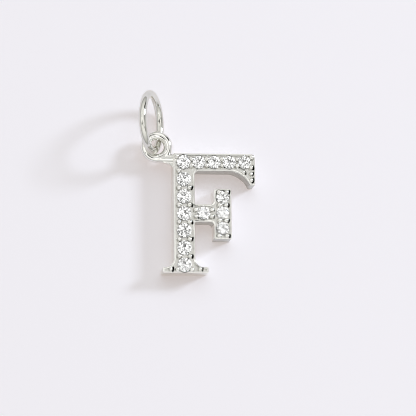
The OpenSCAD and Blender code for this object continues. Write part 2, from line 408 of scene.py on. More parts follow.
def level(edge, height, within=0.002):
    """Whether both ends of an edge are at this height."""
    return all(abs(v.co.z - height) < within for v in edge.verts)


def copy_of(piece, name):
    """A copy of the piece with a mesh of its own."""
    only(piece)
    bpy.ops.object.duplicate(linked=False)
    copy = bpy.context.object
    copy.name = name
    return copy


def join(pieces, name):
    """Joins the pieces into the first one."""
    only(pieces[0])
    for piece in pieces:
        piece.select_set(True)
    bpy.ops.object.join()
    pieces[0].name = name
    return pieces[0]


def move(piece, offset):
    """Moves the piece, in its mesh."""
    only(piece)
    bpy.ops.transform.translate(value=offset)
    bpy.ops.object.transform_apply(location=True, rotation=True, scale=True)


def turn(piece, angle, axis):
    """Turns the piece counter-clockwise about an axis through the origin, in its mesh."""
    edit(piece)
    bpy.ops.transform.rotate(
        value=-angle, orient_axis=axis, orient_type="GLOBAL", center_override=ORIGIN
    )
    close()


def apply(piece, kind, **settings):
    """Adds a modifier and applies it."""
    only(piece)
    modifier = piece.modifiers.new(kind.title(), kind)
    for key, value in settings.items():
        setattr(modifier, key, value)
    bpy.ops.object.modifier_apply(modifier=modifier.name)
    if piece.modifiers:
        raise RuntimeError(f"The {kind} modifier of {piece.name} couldn't be applied")


def cut_away(piece, cutter):
    """Cuts one piece out of another and removes the cutter."""
    apply(piece, "BOOLEAN", operation="DIFFERENCE", solver="MANIFOLD", object=cutter)
    bpy.data.objects.remove(cutter)


def fuse(piece, other):
    """Fuses another piece into this one and removes the other."""
    apply(piece, "BOOLEAN", operation="UNION", solver="MANIFOLD", object=other)
    bpy.data.objects.remove(other)


def face_outwards(piece):
    """Merges doubled points and turns every face outwards."""
    edit(piece)
    bpy.ops.mesh.remove_doubles(threshold=0.0005)
    turn_outwards()
    close()


def smooth(piece, angle=32.0):
    """Smooths the shading, except across edges sharper than the angle."""
    only(piece)
    bpy.ops.object.shade_smooth_by_angle(angle=math.radians(angle))


def wear(piece, materials):
    """Gives the piece these materials in place of any empty ones that its modelling left."""
    if materials:
        piece.data.materials.clear()
    for material in materials:
        piece.data.materials.append(material)


def finish_piece(piece, nodes, materials=()):
    """Brings a piece from the bench to full size, gives it its materials and puts it on the frame."""
    only(piece)
    resize((MM, MM, MM))
    bpy.ops.object.transform_apply(location=True, rotation=True, scale=True)
    wear(piece, materials)
    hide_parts(*nodes)
    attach(piece, BODY)


# The cast letter


def letter_corners(letter):
    """Corners of the letter, counter-clockwise from the foot's lower left: x, y and radius."""
    low, high = bench_box("letter")
    foot = low.y
    reach = high.x
    top = foot + letter.height
    side = letter.stem / 2
    under = top - letter.arm
    tip = top - letter.point_drop
    middle = foot + letter.middle_up
    shelf = middle - letter.middle / 2
    ledge = middle + letter.middle / 2
    inner = letter.serif_out - letter.serif / 2
    outer = letter.serif_out + letter.serif / 2
    return [
        (-letter.foot_left, foot, letter.outer_corner),
        (letter.foot_right, foot, letter.outer_corner),
        (letter.foot_right, foot + letter.foot, letter.outer_corner),
        (side, foot + letter.foot, letter.foot_curve),
        (side, shelf, letter.inner_corner),
        (inner, shelf, letter.serif_inner),
        (inner, middle - letter.serif_down, letter.outer_corner),
        (outer, middle - letter.serif_down, letter.outer_corner),
        (outer, middle + letter.serif_up, letter.outer_corner),
        (inner, middle + letter.serif_up, letter.outer_corner),
        (inner, ledge, letter.serif_inner),
        (side, ledge, letter.inner_corner),
        (side, under, letter.arm_inner),
        (reach - letter.point_root, under, letter.point_curve),
        (reach - letter.point_tip, tip, letter.outer_corner),
        (reach, tip, letter.outer_corner),
        (reach, top, letter.arm_corner),
        (-side, top, letter.outer_corner),
        (-side, foot + letter.foot, letter.foot_curve),
        (-letter.foot_left, foot + letter.foot, letter.outer_corner),
    ]


def trace_outline(name, corners):
    """Draws the outline side by side from its first corner and fills it."""
    before = Vector((corners[0][0], corners[0][1], 0.0))
    piece = start(bpy.ops.mesh.primitive_plane_add, name, size=0.5, location=before)
    edit(piece)
    bpy.ops.mesh.select_mode(type="VERT")
    bpy.ops.mesh.merge(type="CENTER")
    for x, y, _ in corners[1:]:
        place = Vector((x, y, 0.0))
        extrude(place - before)
        before = place
    bpy.ops.mesh.select_all(action="SELECT")
    bpy.ops.mesh.edge_face_add()
    if pick("faces", lambda f: f.normal.z < 0):
        bpy.ops.mesh.flip_normals()
    close()
    return piece


def round_corners(piece, corners, segments=12, within=0.001):
    """Rounds each corner of a traced outline with its own radius."""
    edit(piece)
    count = len(corners)
    for i, (x, y, radius) in enumerate(corners):
        place = Vector((x, y, 0.0))
        into = place - Vector((*corners[i - 1][:2], 0.0))
        out = Vector((*corners[(i + 1) % count][:2], 0.0)) - place
        reach = radius * math.tan(into.angle(out) / 2)
        pick("verts", lambda v: (v.co - place).length < within)
        bpy.ops.mesh.bevel(
            offset_type="ABSOLUTE", offset=reach, segments=segments, affect="VERTICES"
        )
    close()


def inside_of(corners, by, least):
    """The outline moved inwards, its outer corners tighter and its inner corners wider."""
    found = []
    count = len(corners)
    for i, (x, y, radius) in enumerate(corners):
        place = Vector((x, y))
        into = (place - Vector(corners[i - 1][:2])).normalized()
        out = (Vector(corners[(i + 1) % count][:2]) - place).normalized()
        left_of_into = Vector((-into.y, into.x))
        left_of_out = Vector((-out.y, out.x))
        place += by * (left_of_into + left_of_out) / (1 + into.dot(out))
        turns_left = into.cross(out) > 0
        found.append((place.x, place.y, max(radius - by, least) if turns_left else radius + by))
    return found


def is_wall(face, steep=0.5):
    """Whether a face is upright or leans by less than 30 degrees."""
    return abs(face.normal.z) < steep


def is_brink(edge, height):
    """Whether an edge at this height has a wall beside it."""
    return level(edge, height) and any(is_wall(f) for f in edge.link_faces)


def model_letter(letter):
    """The cast letter as one plate: slightly drafted walls and a channel inside a polished rim."""
    corners = letter_corners(letter)
    piece = trace_outline("letter_body", corners)
    round_corners(piece, corners)
    edit(piece)
    bpy.ops.mesh.inset(thickness=letter.draft, depth=letter.thickness, use_even_offset=True)
    pick("edges", lambda e: e.is_boundary)
    bpy.ops.mesh.edge_face_add()
    turn_outwards()
    for height, rounding in ((letter.thickness, letter.face_edge), (0.0, letter.back_edge)):
        pick("edges", lambda e: is_brink(e, height))
        bpy.ops.mesh.bevel(offset=rounding, segments=3, affect="EDGES", clamp_overlap=True)
    close()
    cut_away(piece, channel_cutter(letter))
    edit(piece)
    pick("edges", lambda e: is_brink(e, letter.thickness))
    bpy.ops.mesh.bevel(offset=letter.rim_edge, segments=2, affect="EDGES", clamp_overlap=True)
    close()
    return piece


def channel_cutter(letter):
    """A block in the shape of the channel, up from its floor."""
    corners = inside_of(letter_corners(letter), letter.rim, letter.rim_corner)
    cutter = trace_outline("channel_cutter", corners)
    round_corners(cutter, corners)
    edit(cutter)
    bpy.ops.transform.translate(value=(0.0, 0.0, letter.thickness - letter.channel))
    extrude((0.0, 0.0, letter.thickness))
    turn_outwards()
    close()
    return cutter


def seat_drill(diameter, letter, setting, stones):
    """A drill for one seat: a cone under the pavilion, a straight wall and a bright-cut mouth."""
    radius = diameter / 2 + setting.gap
    shoulder = letter.thickness - setting.sink - stones.girdle * diameter - setting.gap
    tip = shoulder - radius * stones.pavilion * 2
    mouth_low = letter.thickness - letter.channel - setting.mouth / 2
    least_wall = 0.002
    drill = start(
        bpy.ops.mesh.primitive_cone_add,
        "seat_drill",
        vertices=48,
        radius1=0.0,
        radius2=radius,
        depth=shoulder - tip,
        location=(0.0, 0.0, (shoulder + tip) / 2),
    )
    edit(drill)
    pick("faces", lambda f: f.normal.z > 0 and not is_wall(f))
    wide = (radius + setting.mouth) / radius
    for rise, widen in (
        (max(mouth_low - shoulder, least_wall), 1.0),
        (setting.mouth, wide),
        (letter.thickness, 1.0),
    ):
        extrude((0.0, 0.0, rise))
        resize((widen, widen, 1.0))
    close()
    return drill


def cut_seats(piece, letter, setting, stones):
    """Cuts a seat into the letter for each stone, one after another, because their mouths may meet."""
    drills = stone_copies(letter.thickness, lambda diameter: seat_drill(diameter, letter, setting, stones))
    for _, centre, drill in drills:
        move(drill, (centre.x, centre.y, 0.0))
        cut_away(piece, drill)


def cut_gouges(piece, letter, setting):
    """Cuts the gouge that a graver leaves at the right of each bead, larger where the bead leans left."""
    usual = 0.85
    by_lean = 0.25
    varies = 0.12
    most_turned = 0.25
    near = 0.5
    serif_x = stone_places(letter.thickness)[SERIF_STONES][0][1].x
    ends = (letter.stem / 2, serif_x + letter.serif / 2, bench_box("letter")[1].x)
    for i, (place, lean, _, radius) in enumerate(bead_places(letter, setting)):
        size = (usual - by_lean * lean.x) * (1.0 + varies * math.sin(GOUGE_SIZE_STEP * i))
        gouge = start(bpy.ops.mesh.primitive_uv_sphere_add, "gouge", segments=16, ring_count=8)
        edit(gouge)
        resize((setting.gouge * size, setting.gouge_long * size, setting.gouge_deep))
        close()
        turn(gouge, most_turned * math.sin(GOUGE_TURN_STEP * i), "Z")
        x = place.x + setting.gouge_off * radius / setting.bead
        for end in ends:
            if 0.0 < end - place.x < near:
                x = min(x, end - setting.gouge_rim)
        move(gouge, (x, place.y, letter.thickness))
        cut_away(piece, gouge)


# The bead prongs


def bead_master():
    """One bead prong of radius one: a rounded head on a short stalk that spreads at its foot."""
    waist = -0.05
    stalk = 0.3
    foot_top = -0.6
    foot_wide = 1.18
    head_low = 0.6
    head_wide = 1.05
    head_flat = 0.94
    bead = start(
        bpy.ops.mesh.primitive_uv_sphere_add, "bead", segments=20, ring_count=14, radius=1.0
    )
    edit(bead)
    pick("verts", lambda v: v.co.z < waist)
    bpy.ops.transform.translate(value=(0.0, 0.0, -stalk))
    pick("verts", lambda v: v.co.z < foot_top)
    resize((foot_wide, foot_wide, 1.0), (0.0, 0.0, -stalk))
    pick("verts", lambda v: v.co.z > head_low)
    resize((head_wide, head_wide, head_flat))
    close()
    return bead


def pairs_between(centres, along, across):
    """Places in pairs beside a row of stones, half way between neighbours, with their lean and row."""
    found = []
    for before, after in zip(centres, centres[1:]):
        half_way = (before + after) / 2
        for side in (-1, 1):
            found.append((half_way + side * across, -side * across.normalized(), along))
    return found


def beads_in_rows(letter, setting):
    """The beads beside the rows of stones: place, direction of lean and direction of the row."""
    places = stone_places(letter.thickness)
    centres = [centre for _, centre, _ in places]
    arm = centres[ARM_STONES]
    first_gap = arm[1] - arm[0]
    found = pairs_between(centres[STEM_STONES], TOPWARD, (letter.stem / 2 - setting.inset) * RIGHTWARD)
    # The top arm leaves the stem where this bead, the right-hand one of the highest pair, would be.
    del found[1]
    arm_row = [arm[0] - first_gap] + arm
    found += pairs_between(arm_row, RIGHTWARD, (letter.arm / 2 - setting.inset) * TOPWARD)
    found += pairs_between(centres[SERIF_STONES], TOPWARD, (letter.serif / 2 - setting.inset) * RIGHTWARD)
    _, middle, diameter = places[MIDDLE_STONE]
    beside = (diameter / 2 + setting.gap + setting.bead / 2) * RIGHTWARD
    across = (letter.middle / 2 - setting.inset) * TOPWARD
    for end in (-1, 1):
        for side in (-1, 1):
            found.append((middle + end * beside + side * across, -side * TOPWARD, RIGHTWARD))
    return found


def beads_at_ends(letter, setting):
    """The beads at the serif's ends and in the letter's corners, in the same form."""
    low, high = bench_box("letter")
    top = low.y + letter.height
    middle = low.y + letter.middle_up
    corner = setting.corner_inset
    serif_x = stone_places(letter.thickness)[SERIF_STONES][0][1].x
    serif_out = letter.serif / 2 - setting.serif_inset
    stem_out = letter.stem / 2 - corner
    places = []
    for y in (middle + letter.serif_up - corner, middle - letter.serif_down + corner):
        for side in (-1, 1):
            places.append((serif_x + side * serif_out, y, -side))
    places += [
        (-stem_out, top - corner, 1),
        (high.x - corner, top - corner, -1),
        (-stem_out, low.y + corner, 1),
        (stem_out, low.y + corner, -1),
    ]
    return [(Vector((x, y, 0.0)), lean * RIGHTWARD, TOPWARD) for x, y, lean in places]


def small_beads(letter, setting):
    """The small beads down the point, in the hollow beside it and on the foot, in the same form."""
    low, high = bench_box("letter")
    under = low.y + letter.height - letter.arm
    last_stone = stone_places(letter.thickness)[ARM_STONES][-1][1]
    edge = high.x - setting.small_inset
    radius = setting.small_bead
    places = [(edge, under + 2 * radius - i * setting.point_step) for i in range(3)]
    places += [
        (last_stone.x - radius / 2, under - radius / 2),
        (setting.foot_inset - letter.foot_left, low.y + setting.small_inset),
        (letter.foot_right - setting.foot_inset, low.y + setting.small_inset),
    ]
    return [(Vector((x, y, 0.0)), -RIGHTWARD, TOPWARD) for x, y in places]


def bead_places(letter, setting):
    """Every bead: its place, the direction in which it leans, the direction of its row, its radius."""
    large = beads_in_rows(letter, setting) + beads_at_ends(letter, setting)
    found = [(*bead, setting.bead) for bead in large]
    return found + [(*bead, setting.small_bead) for bead in small_beads(letter, setting)]


def model_beads(letter, setting):
    """All the bead prongs, each a little different and longer along its row, as one piece."""
    varies = 0.05
    longer = 0.1
    leans = 0.02
    sunk = 0.01
    master = bead_master()
    beads = []
    for i, (place, lean, along, radius) in enumerate(bead_places(letter, setting)):
        bead = copy_of(master, f"bead_{i:02d}")
        vary = 1.0 + varies * math.sin(BEAD_SIZE_STEP * i)
        rise = setting.bead_top * radius / setting.bead
        grow = Vector((1.0, 1.0, 0.0)) + longer * along
        edit(bead)
        resize((grow.x * radius * vary, grow.y * radius * vary, rise * (2.0 - vary)))
        close()
        shift = lean * leans
        move(bead, (place.x + shift.x, place.y + shift.y, letter.thickness - sunk))
        beads.append(bead)
    bpy.data.objects.remove(master)
    return join(beads, "bead_prongs")


# The eyelet and the jump ring


def eyelet_centre(rings):
    """Centre of the eyelet, from the frame's box round the letter."""
    low, high = bench_box("letter")
    reach = rings.eyelet_reach
    return Vector((low.x + reach, high.y - reach, rings.eyelet_lift))


def spin_wire(name, wire, radius, centre, normal, first, gap_angle, steps, sides=24):
    """A wire of round section spun about the centre, from the direction first, all round or nearly."""
    start_angle = gap_angle / 2
    quarter = normal.cross(first)
    outward = first * math.cos(start_angle) + quarter * math.sin(start_angle)
    heading = normal.cross(outward)
    section = start(
        bpy.ops.mesh.primitive_circle_add,
        name,
        vertices=sides,
        radius=wire / 2,
        location=centre + outward * radius,
        rotation=heading.to_track_quat("Z", "Y").to_euler(),
    )
    edit(section)
    bpy.ops.mesh.spin(
        steps=steps, angle=2 * math.pi - gap_angle, center=centre, axis=normal, use_normal_flip=False
    )
    close()
    return section


def model_eyelet(letter, rings):
    """The eyelet with its neck and the solder that joins it to the letter, as one soft-edged body."""
    centre = eyelet_centre(rings)
    radius = rings.eyelet_round / 2
    piece = spin_wire("eyelet", rings.eyelet_wire, radius, centre, UP, -RIGHTWARD, 0.0, steps=64)
    face_outwards(piece)
    side = -letter.stem / 2
    neck_end = side / 2
    neck_y = centre.y - radius
    neck = start(
        bpy.ops.mesh.primitive_cylinder_add,
        "neck",
        vertices=32,
        radius=rings.neck_waist / 2,
        depth=neck_end - centre.x,
        location=((neck_end + centre.x) / 2, neck_y, centre.z),
        rotation=(0.0, math.pi / 2, 0.0),
    )
    edit(neck)
    pick("verts", lambda v: v.co.x > side)
    widen = rings.neck / rings.neck_waist
    resize((1.0, widen, widen), (0.0, neck_y, centre.z))
    close()
    fuse(piece, neck)
    fuse(piece, model_fillet(letter, rings, centre, neck_y))
    apply(piece, "REMESH", mode="VOXEL", voxel_size=0.03)
    apply(piece, "SMOOTH", factor=0.5, iterations=6)
    return piece


def model_fillet(letter, rings, centre, neck_y):
    """The web of solder that runs from the neck down the stem in a hollow curve."""
    side = -letter.stem / 2
    half = rings.neck / 4
    top = neck_y - half
    low = neck_y - rings.neck / 2 - rings.fillet_drop
    corners = [(side / 2, low), (side / 2, top), (side - rings.fillet, top)]
    steps = 8
    for i in range(steps + 1):
        angle = math.pi / 2 * i / steps
        x = side - rings.fillet * (1 - math.sin(angle))
        corners.append((x, low + rings.fillet_drop * math.cos(angle)))
    web = trace_outline("web", [(x, y, 0.0) for x, y in corners])
    edit(web)
    bpy.ops.transform.translate(value=(0.0, 0.0, centre.z - half))
    extrude((0.0, 0.0, 2 * half))
    turn_outwards()
    close()
    return web


def model_ring(rings):
    """The jump ring: one length of round wire, closed with a fine joint whose ends are chamfered."""
    low, high = bench_box("jump_ring")
    centre = (low + high) / 2
    radius = (rings.ring_across - rings.ring_wire) / 2
    normal = Vector((math.sin(rings.ring_slope), 0.0, math.cos(rings.ring_slope)))
    place = rings.joint_place
    first = TOPWARD * math.cos(place) + normal.cross(TOPWARD) * math.sin(place)
    gap = rings.joint_gap / radius
    piece = spin_wire("jump_ring_wire", rings.ring_wire, radius, centre, normal, first, gap, steps=96)
    edit(piece)
    for _ in range(2):
        pick("edges", lambda e: e.is_boundary)
        bpy.ops.mesh.edge_face_add()
    pick("faces", lambda f: len(f.verts) > 4)
    bpy.ops.mesh.region_to_loop()
    bpy.ops.mesh.bevel(offset=rings.joint_edge, segments=2, affect="EDGES")
    close()
    face_outwards(piece)
    return piece


# The stones


def facet_planes(diameter, stones):
    """The brilliant's facets, each as three points of its plane: crown first and then pavilion."""
    radius = diameter / 2
    table = stones.table * radius
    star = table + stones.stars * (radius - table)
    low = radius * (1 - stones.lower_halves)
    crown = stones.crown * diameter
    under = -stones.girdle * diameter
    culet = under - stones.pavilion * diameter
    half = math.cos(math.pi / 8)
    star_z = crown * (radius - star * half) / (radius - table)
    low_z = under + (culet - under) * (radius - low * half) / radius

    def point(reach, eighth, z):
        angle = eighth * math.pi / 4
        return Vector((reach * math.cos(angle), reach * math.sin(angle), z))

    planes = []
    for i in range(8):
        spark = point(star, i + 0.5, star_z)
        root = point(low, i + 0.5, low_z)
        planes.append((point(radius, i, 0.0), point(table, i, crown), spark))
        planes.append((point(table, i, crown), point(table, i + 1, crown), spark))
        planes.append((point(radius, i, under), root, Vector((0.0, 0.0, culet))))
        for near, far in ((i, i + 0.5), (i + 0.5, i + 1)):
            planes.append((point(radius, near, 0.0), point(radius, far, 0.0), spark))
            planes.append((point(radius, near, under), point(radius, far, under), root))
    return planes


def cut_brilliant(diameter, stones):
    """Cuts one brilliant from a round blank, facet by facet, its girdle's upper edge at nought."""
    crown = stones.crown * diameter
    depth = crown + (stones.girdle + stones.pavilion) * diameter
    stone = start(
        bpy.ops.mesh.primitive_cylinder_add,
        "brilliant",
        vertices=stones.sides,
        radius=diameter / 2,
        depth=depth,
        location=(0.0, 0.0, crown - depth / 2),
    )
    inside = Vector((0.0, 0.0, -stones.girdle * diameter / 2))
    edit(stone)
    for first, second, third in facet_planes(diameter, stones):
        normal = (second - first).cross(third - first).normalized()
        if normal.dot(first - inside) < 0:
            normal.negate()
        bpy.ops.mesh.select_all(action="SELECT")
        bpy.ops.mesh.bisect(
            plane_co=first, plane_no=normal, use_fill=True, clear_outer=True, threshold=0.00001
        )
    bpy.ops.mesh.select_all(action="SELECT")
    bpy.ops.mesh.remove_doubles(threshold=0.0008)
    bpy.ops.mesh.dissolve_limited(angle_limit=math.radians(0.5))
    turn_outwards()
    close()
    return stone


# The finishes


def new_material(name, metallic=0.0):
    """A material with its node tree and its main shader."""
    material = bpy.data.materials.new(name)
    material.use_nodes = True
    shader = material.node_tree.nodes["Principled BSDF"]
    shader.inputs["Metallic"].default_value = metallic
    return material, material.node_tree, shader


def add_node(tree, kind, values=None, **settings):
    """Adds a node, with its settings and the values of its inputs."""
    node = tree.nodes.new(kind)
    for key, value in settings.items():
        setattr(node, key, value)
    for key, value in (values or {}).items():
        node.inputs[key].default_value = value
    return node


def grain(tree, per_mm, detail, stretch=(1.0, 1.0, 1.0), turn_deg=(0.0, 0.0, 0.0)):
    """Noise in the piece's own space, with so many grains to a millimetre."""
    place = add_node(tree, "ShaderNodeTexCoord")
    fit = add_node(
        tree,
        "ShaderNodeMapping",
        {
            "Scale": [per_mm * BENCH * part for part in stretch],
            "Rotation": [math.radians(part) for part in turn_deg],
        },
    )
    noise = add_node(tree, "ShaderNodeTexNoise", {"Scale": 1.0, "Detail": detail})
    tree.links.new(place.outputs["Object"], fit.inputs["Vector"])
    tree.links.new(fit.outputs["Vector"], noise.inputs["Vector"])
    return noise.outputs["Fac"]


def spread(tree, value, low, high, out_low=0.0, out_high=1.0):
    """Stretches a value from one range to another, and holds it there."""
    node = add_node(
        tree,
        "ShaderNodeMapRange",
        {"From Min": low, "From Max": high, "To Min": out_low, "To Max": out_high},
    )
    tree.links.new(value, node.inputs["Value"])
    return node.outputs["Result"]


def blend_colours(tree, factor, first, second):
    """Mixes two colours by a factor."""
    node = add_node(tree, "ShaderNodeMix", data_type="RGBA")
    node.inputs[6].default_value = (*first, 1.0)
    node.inputs[7].default_value = (*second, 1.0)
    tree.links.new(factor, node.inputs[0])
    return node.outputs[2]


def bump(tree, height, depth_mm, strength, below=None):
    """Raises a surface by a height map, on top of another bump if one is given."""
    node = add_node(tree, "ShaderNodeBump", {"Strength": strength, "Distance": depth_mm * MM})
    tree.links.new(height, node.inputs["Height"])
    if below is not None:
        tree.links.new(below, node.inputs["Normal"])
    return node.outputs["Normal"]


def mottled(tree, per_mm, first, second, low=0.3, high=0.7, detail=3.0):
    """Patches of two colours, with so many to a millimetre."""
    return blend_colours(tree, spread(tree, grain(tree, per_mm, detail), low, high), first, second)


def darker(tone, left):
    """A colour of which only this share is left."""
    return [part * left for part in tone]


def plated_silver(name, colours, bright, dim, ripple):
    """Plated silver with fine wiping scratches, duller patches and ripples of the given depth."""
    material, tree, shader = new_material(name, metallic=1.0)
    tone = mottled(tree, 1.1, bright, dim, low=0.35, high=0.68)
    tree.links.new(tone, shader.inputs["Base Color"])
    shader.inputs["Specular Tint"].default_value = (*colours.silver_edge, 1.0)
    smears = grain(tree, per_mm=5.0, detail=4.0)
    rough = spread(tree, smears, 0.3, 0.75, colours.gloss * 0.6, colours.gloss * 1.9)
    tree.links.new(rough, shader.inputs["Roughness"])
    ripples = bump(tree, grain(tree, per_mm=1.6, detail=2.0), depth_mm=ripple, strength=0.6)
    lines = grain(tree, per_mm=3.0, detail=2.0, stretch=(1.0, 14.0, 1.0), turn_deg=(0.0, 0.0, 24.0))
    wiping = bump(tree, lines, depth_mm=0.0012, strength=0.5, below=ripples)
    tree.links.new(wiping, shader.inputs["Normal"])
    return material


def polished_silver(colours):
    """The letter's silver, polished by hand: soft ripples."""
    return plated_silver("polished_silver", colours, colours.silver, colours.silver_dim, ripple=0.012)


def drawn_silver(colours):
    """The jump ring's drawn wire: smoother than the letter and a shade greyer."""
    return plated_silver("drawn_silver", colours, colours.wire, colours.wire_dim, ripple=0.003)


def cast_silver(colours):
    """The same silver as it was cast, between the stones: finely pitted, with painted shade that darkens
    it deep in its cuts and seats.
    """
    material, tree, shader = new_material("cast_silver", metallic=1.0)
    tone = mottled(tree, 4.0, colours.channel, colours.silver_dim)
    # Painted shade: below the channel floor the colour darkens towards near black, deep in the cuts and
    # seats where shade falls.
    place = add_node(tree, "ShaderNodeTexCoord")
    parts = add_node(tree, "ShaderNodeSeparateXYZ")
    tree.links.new(place.outputs["Object"], parts.inputs["Vector"])
    depth = spread(tree, parts.outputs["Z"], colours.painted_shade_top, colours.painted_shade_low)
    dark = blend_colours(tree, depth, (1.0, 1.0, 1.0), colours.painted_shade)
    both = add_node(tree, "ShaderNodeMix", data_type="RGBA", blend_type="MULTIPLY")
    both.inputs[0].default_value = 1.0
    tree.links.new(tone, both.inputs[6])
    tree.links.new(dark, both.inputs[7])
    tree.links.new(both.outputs[2], shader.inputs["Base Color"])
    pits = grain(tree, per_mm=7.0, detail=3.0)
    rough = spread(tree, pits, 0.3, 0.7, colours.cast * 1.3, colours.cast * 0.7)
    tree.links.new(rough, shader.inputs["Roughness"])
    tree.links.new(bump(tree, pits, depth_mm=0.022, strength=0.8), shader.inputs["Normal"])
    return material


def satin_silver(colours):
    """Plated silver on the walls that face the letter's foot: rougher, with fine marks, and darker in
    colour as painted shade for walls that lie in shade under the arms.
    """
    material, tree, shader = new_material("satin_silver", metallic=1.0)
    inside = colours.shaded_wall_tone
    # Painted shade: a darker colour than the rest of the silver, for walls that lie in shade.
    tree.links.new(mottled(tree, 2.5, inside, darker(inside, 0.85)), shader.inputs["Base Color"])
    marks = grain(tree, per_mm=14.0, detail=3.0)
    tree.links.new(spread(tree, marks, 0.3, 0.7, 0.3, 0.42), shader.inputs["Roughness"])
    tree.links.new(bump(tree, marks, depth_mm=0.004, strength=0.6), shader.inputs["Normal"])
    return material


def clear_crystal(colours):
    """Cut crystal: clear and strongly refracting, with a trace of polish on its facets."""
    material, tree, shader = new_material("clear_crystal")
    clear = colours.crystal
    tone = mottled(tree, 2.0, clear, darker(clear, 0.97), detail=2.0)
    tree.links.new(tone, shader.inputs["Base Color"])
    polish = spread(tree, grain(tree, per_mm=12.0, detail=2.0), 0.35, 0.7, 0.0, 0.02)
    tree.links.new(polish, shader.inputs["Roughness"])
    shader.inputs["IOR"].default_value = 2.15
    shader.inputs["Transmission Weight"].default_value = 1.0
    return material


def floor_paper(colours):
    """Smooth matt paper, bright by its own colour and by light that comes through it from below."""
    material, _, shader = new_material("floor_paper")
    shader.inputs["Base Color"].default_value = (*colours.floor, 1.0)
    shader.inputs["Roughness"].default_value = 1.0
    shader.inputs["Specular IOR Level"].default_value = 0.0
    shader.inputs["Emission Color"].default_value = (*colours.floor_glow, 1.0)
    shader.inputs["Emission Strength"].default_value = 1.0
    return material


def material_of(make):
    """The material that this function makes, made once."""
    found = bpy.data.materials.get(make.__name__)
    return found or make(bpy.context.scene.pendant_finish)


# The pieces' operators


def in_channel(face, height, lowest=0.6, edge=0.03):
    """Whether a face lies inside the letter's rim. The middles of its outer walls are lower down."""
    return height * lowest < face.calc_center_bounds().z < height - edge


def is_inner_wall(face, lowest, downward=-0.35):
    """Whether a face is a wall above this line that looks towards the letter's foot."""
    return face.normal.y < downward and is_wall(face) and face.calc_center_median().y > lowest


def plate(piece, index, test):
    """Gives the faces of the open piece that pass the test the piece's material of this index."""
    pick("faces", test)
    piece.active_material_index = index
    bpy.ops.object.material_slot_assign()


class PENDANT_OT_letter(bpy.types.Operator):
    """Model the cast letter with its rim, its channel, the stones' seats and the graver's cuts"""

    bl_idname = "pendant.letter"
    bl_label = "Cast letter"

    def execute(self, context):
        letter = on_bench(context.scene.pendant_letter)
        setting = on_bench(context.scene.pendant_setting)
        piece = model_letter(letter)
        cut_seats(piece, letter, setting, on_bench(context.scene.pendant_stones))
        cut_gouges(piece, letter, setting)
        smooth(piece)
        wear(piece, [material_of(polished_silver), material_of(cast_silver), material_of(satin_silver)])
        above_foot = bench_box("letter")[0].y + 3 * letter.foot
        edit(piece)
        plate(piece, 1, lambda f: in_channel(f, letter.thickness))
        # Painted shade: the walls that face the foot lie in shade under the arms and take the darker
        # silver.
        plate(piece, 2, lambda f: is_inner_wall(f, above_foot))
        close()
        finish_piece(piece, ["letter"])
        return {"FINISHED"}


class PENDANT_OT_beads(bpy.types.Operator):
    """Model the bead prongs beside the stones"""

    bl_idname = "pendant.beads"
    bl_label = "Bead prongs"

    def execute(self, context):
        letter = on_bench(context.scene.pendant_letter)
        piece = model_beads(letter, on_bench(context.scene.pendant_setting))
        smooth(piece)
        finish_piece(piece, ["letter"], [material_of(polished_silver)])
        return {"FINISHED"}


class PENDANT_OT_eyelet(bpy.types.Operator):
    """Model the eyelet, its neck and the solder"""

    bl_idname = "pendant.eyelet"
    bl_label = "Eyelet"

    def execute(self, context):
        letter = on_bench(context.scene.pendant_letter)
        piece = model_eyelet(letter, on_bench(context.scene.pendant_rings))
        smooth(piece, 60.0)
        finish_piece(piece, ["letter"], [material_of(polished_silver)])
        return {"FINISHED"}


class PENDANT_OT_ring(bpy.types.Operator):
    """Model the jump ring"""

    bl_idname = "pendant.ring"
    bl_label = "Jump ring"

    def execute(self, context):
        piece = model_ring(on_bench(context.scene.pendant_rings))
        smooth(piece)
        finish_piece(piece, ["jump_ring"], [material_of(drawn_silver)])
        return {"FINISHED"}


class PENDANT_OT_stones(bpy.types.Operator):
    """Cut the stones and set them in their seats"""

    bl_idname = "pendant.stones"
    bl_label = "Stones"

    def execute(self, context):
        letter = on_bench(context.scene.pendant_letter)
        stones = on_bench(context.scene.pendant_stones)
        copies = stone_copies(letter.thickness, lambda diameter: cut_brilliant(diameter, stones))
        for i, (node, centre, stone) in enumerate(copies):
            stone.name = node.replace("stone", "brilliant")
            turn(stone, stones.turn * i, "Z")
            turn(stone, stones.tilt * math.sin(STONE_TILT_STEP * i), "X")
            turn(stone, stones.tilt * math.cos(STONE_LEAN_STEP * i), "Y")
            move(stone, centre)
            finish_piece(stone, [node], [material_of(clear_crystal)])
        return {"FINISHED"}


class PENDANT_OT_stage(bpy.types.Operator):
    """Set up the floor, the light and the camera"""

    bl_idname = "pendant.stage"
    bl_label = "Stage"

    def execute(self, context):
        studio = context.scene.pendant_studio
        letter = on_bench(context.scene.pendant_letter)
        lay_floor()
        light_room(studio)
        stem_top = Vector((0.0, bench_box("letter")[0].y + letter.height, letter.thickness))
        target = set_camera(studio, stem_top * MM)
        hang_key(studio, target)
        set_film()
        return {"FINISHED"}


# The floor, the light and the camera


def lay_floor(size=3.0):
    """A plain floor at the height of the pendant's back."""
    floor = start(bpy.ops.mesh.primitive_plane_add, "floor", size=size)
    floor.data.materials.append(material_of(floor_paper))


# Direction to the middle of the stronger light from the top of the picture, and the cosine of the
# angle from it at which that light has faded to the light from all round.
TOP_FILL = (0.0, 0.5, 0.866)
TOP_FILL_END = 0.82

# Dark boards round the pendant, seen in the metal and through the stones: direction from the right of
# the picture, height, half width and half height in degrees, and how much of the white they leave.
BOARDS = (
    (54.0, 78.6, 12.0, 12.0, 0.6),
    (14.0, 42.0, 38.0, 9.0, 0.03),
    (43.0, 24.0, 7.0, 17.0, 0.03),
    (234.3, 74.0, 10.0, 13.0, 0.05),
    (150.0, 58.0, 9.0, 5.0, 0.1),
    (95.0, 62.0, 6.0, 8.0, 0.1),
    (305.0, 60.0, 12.0, 4.0, 0.1),
    (200.0, 50.0, 4.0, 10.0, 0.1),
)


